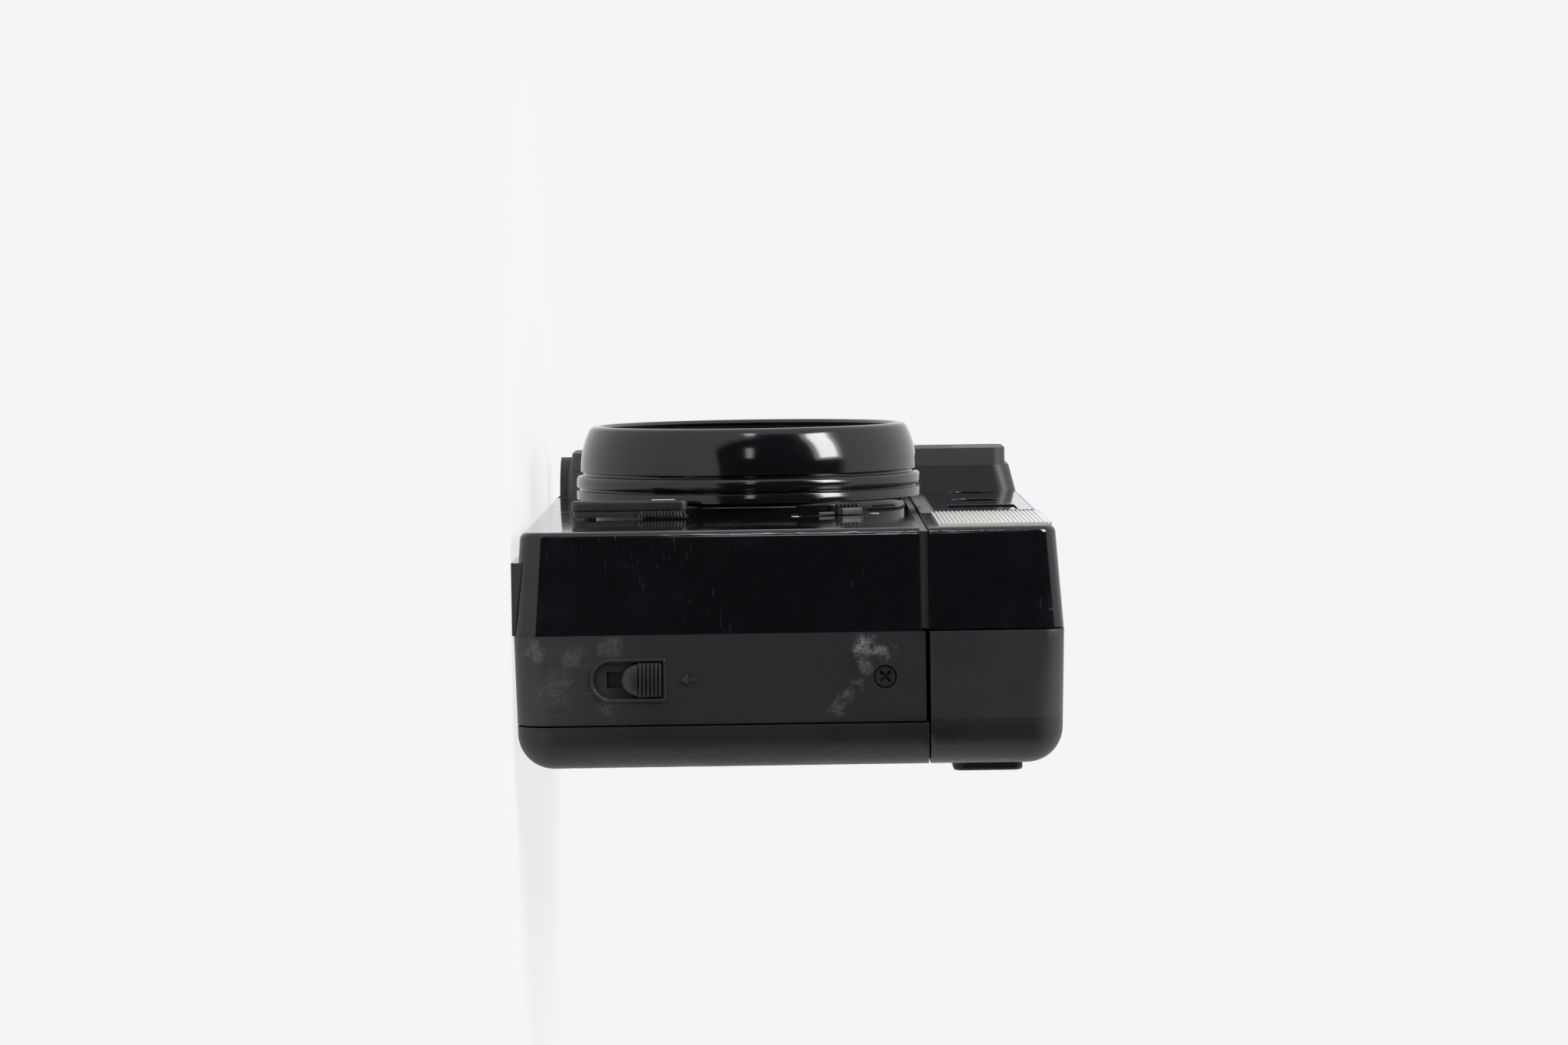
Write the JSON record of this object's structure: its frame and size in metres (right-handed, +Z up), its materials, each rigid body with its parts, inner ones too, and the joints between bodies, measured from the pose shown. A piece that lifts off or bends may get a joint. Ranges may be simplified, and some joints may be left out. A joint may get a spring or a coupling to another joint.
{
  "type": "compact film camera",
  "caption": "Black compact autofocus film camera with a deep lens ring, pop-up flash head, hinged film door, battery grip and motor film drive.",
  "frame": {"origin": "mouth of the tripod socket, in the plane that the camera stands on", "axes": "+X along the body towards the latch end, -Y out of the lens, +Z up"},
  "size_m": [0.1296, 0.0454, 0.0739],
  "materials": {
    "matte_case": "fine-grained matte black",
    "gloss_case": "polished black",
    "door_case": "fine-grained matte black",
    "inner_black": "matte black",
    "grip_black": "ribbed matte black",
    "satin_lever": "satin black",
    "black_metal": "satin black paint",
    "bare_steel": "bare",
    "spring_steel": "bare",
    "bright_metal": "polished",
    "brass_metal": "plain",
    "clear_glass": "coated",
    "smoked_window": "smoked",
    "flash_diffuser": "ribbed",
    "lamp_red": "clear red",
    "seal_foam": "foam",
    "cell_jacket": "plain jacket",
    "board_green": "lacquered",
    "white_plastic": "plain"
  },
  "bodies": {
    "camera": {"front_cover": "gloss_case", "main_body": "matte_case", "take_up_housing": "inner_black", "gate_frame": "inner_black", "cartridge_housing": "inner_black", "hinge_pin": "bare_steel", "light_seals": "seal_foam", "top_cover": "matte_case", "window_panel": "gloss_case", "finder_glass": "clear_glass", "finder_tunnel": "inner_black", "eyepiece_frame": "inner_black", "af_windows": "smoked_window", "af_module": "inner_black", "ready_lamp": "lamp_red", "flash_base": "inner_black", "flash_capacitor": "cell_jacket", "shutter_switch": "inner_black", "counter_glass": "clear_glass", "lens_ring": "gloss_case", "front_plate": "gloss_case", "meter_cell": "smoked_window", "focus_sleeve": "black_metal", "shutter_plate": "black_metal", "shutter_cover": "black_metal", "lens_plinth": "gloss_case", "grip": "grip_black", "battery_holder": "inner_black", "battery_cells": "cell_jacket", "battery_contacts": "bare_steel", "motor": "bare_steel", "circuit_board": "board_green", "tripod_socket": "bare_steel", "case_screws": "black_metal", "strap_lug": "bright_metal"},
    "door": {"back_door": "door_case", "pressure_springs": "spring_steel"},
    "film_pad": {"pressure_plate": "black_metal"},
    "latch": {"door_latch": "satin_lever", "latch_bar": "bare_steel"},
    "flash_head": {"flash_lid": "gloss_case", "flash_window": "flash_diffuser", "flash_reflector": "bright_metal", "flash_tube": "clear_glass", "flash_carrier": "inner_black"},
    "release": {"shutter_button": "bright_metal"},
    "counter": {"counter_dial": "white_plastic"},
    "lens_barrel": {"focus_barrel": "black_metal", "front_element": "clear_glass", "inner_elements": "clear_glass"},
    "blade_right": {"shutter_blade_right": "black_metal"},
    "blade_left": {"shutter_blade_left": "black_metal"},
    "selector": {"mode_selector": "satin_lever"},
    "timer": {"timer_lever": "satin_lever"},
    "battery_lid": {"battery_cover": "matte_case"},
    "spool": {"take_up_spool": "inner_black"},
    "sprocket": {"film_sprocket": "inner_black"},
    "fork": {"rewind_fork": "inner_black"},
    "pinion": {"motor_pinion": "brass_metal"},
    "rewind": {"rewind_button": "satin_lever"}
  },
  "joints": [
    {"name": "back_door_hinge", "type": "hinge", "parent": "camera", "child": "door", "pos_m": [-0.0595, 0.00955, 0.0273], "axis": [0, 0, 1], "range_deg": [0, 110]},
    {"name": "pressure_plate_slide", "type": "slide", "parent": "door", "child": "film_pad", "axis": [0, 1, 0], "range_m": [0, 0.0004], "stiffness_N_per_m": 400, "springref_m": -0.0002},
    {"name": "door_latch_slide", "type": "slide", "parent": "camera", "child": "latch", "axis": [0, 0, -1], "range_m": [0, 0.0034], "stiffness_N_per_m": 200, "springref_m": -0.002},
    {"name": "flash_head_slide", "type": "slide", "parent": "camera", "child": "flash_head", "axis": [0, 0, 1], "range_m": [0, 0.012]},
    {"name": "shutter_button_press", "type": "slide", "parent": "camera", "child": "release", "axis": [0, 0, -1], "range_m": [0, 0.0014], "stiffness_N_per_m": 700, "springref_m": -0.0008},
    {"name": "counter_dial_turn", "type": "hinge", "parent": "camera", "child": "counter", "pos_m": [-0.0304, -0.0015, 0.07], "axis": [0, 0, 1], "continuous": true},
    {"name": "focus_slide", "type": "slide", "parent": "camera", "child": "lens_barrel", "axis": [0, -1, 0], "range_m": [0, 0.0016]},
    {"name": "shutter_blade_right_turn", "type": "hinge", "parent": "camera", "child": "blade_right", "pos_m": [0, -0.0126, 0.0433], "axis": [0, 1, 0], "range_deg": [-38, 0]},
    {"name": "shutter_blade_left_turn", "type": "hinge", "parent": "camera", "child": "blade_left", "pos_m": [0, -0.0122, 0.0433], "axis": [0, 1, 0], "range_deg": [0, 38]},
    {"name": "mode_selector_turn", "type": "hinge", "parent": "camera", "child": "selector", "pos_m": [0, -0.0196, 0.0313], "axis": [0, -1, 0], "range_deg": [-13, 8]},
    {"name": "timer_lever_turn", "type": "hinge", "parent": "camera", "child": "timer", "pos_m": [0.0264, -0.021, 0.0092], "axis": [0, 1, 0], "range_deg": [0, 60]},
    {"name": "battery_cover_slide", "type": "slide", "parent": "camera", "child": "battery_lid", "axis": [-1, 0, 0], "range_m": [0, 0.016]},
    {"name": "take_up_spool_turn", "type": "hinge", "parent": "camera", "child": "spool", "pos_m": [-0.035, -0.00635, 0.03], "axis": [0, 0, 1], "continuous": true},
    {"name": "film_sprocket_turn", "type": "hinge", "parent": "camera", "child": "sprocket", "pos_m": [-0.025, 0.00415, 0.03], "axis": [0, 0, 1], "continuous": true},
    {"name": "motor_pinion_turn", "type": "hinge", "parent": "camera", "child": "pinion", "pos_m": [-0.02352, -0.00506, 0.0565], "axis": [0, 0, 1], "continuous": true},
    {"name": "rewind_fork_turn", "type": "hinge", "parent": "camera", "child": "fork", "pos_m": [0.0455, -0.00335, 0.05], "axis": [0, 0, 1], "continuous": true},
    {"name": "rewind_button_press", "type": "slide", "parent": "camera", "child": "rewind", "axis": [0, 0, 1], "range_m": [0, 0.0012], "stiffness_N_per_m": 300, "springref_m": -0.001}
  ],
  "couplings": [
    {"joint": "film_sprocket_turn", "follows": "take_up_spool_turn", "ratio": -1.6364},
    {"joint": "motor_pinion_turn", "follows": "take_up_spool_turn", "ratio": -3.6},
    {"joint": "counter_dial_turn", "follows": "take_up_spool_turn", "ratio": 0.030682},
    {"joint": "shutter_blade_left_turn", "follows": "shutter_blade_right_turn", "ratio": -1}
  ]
}
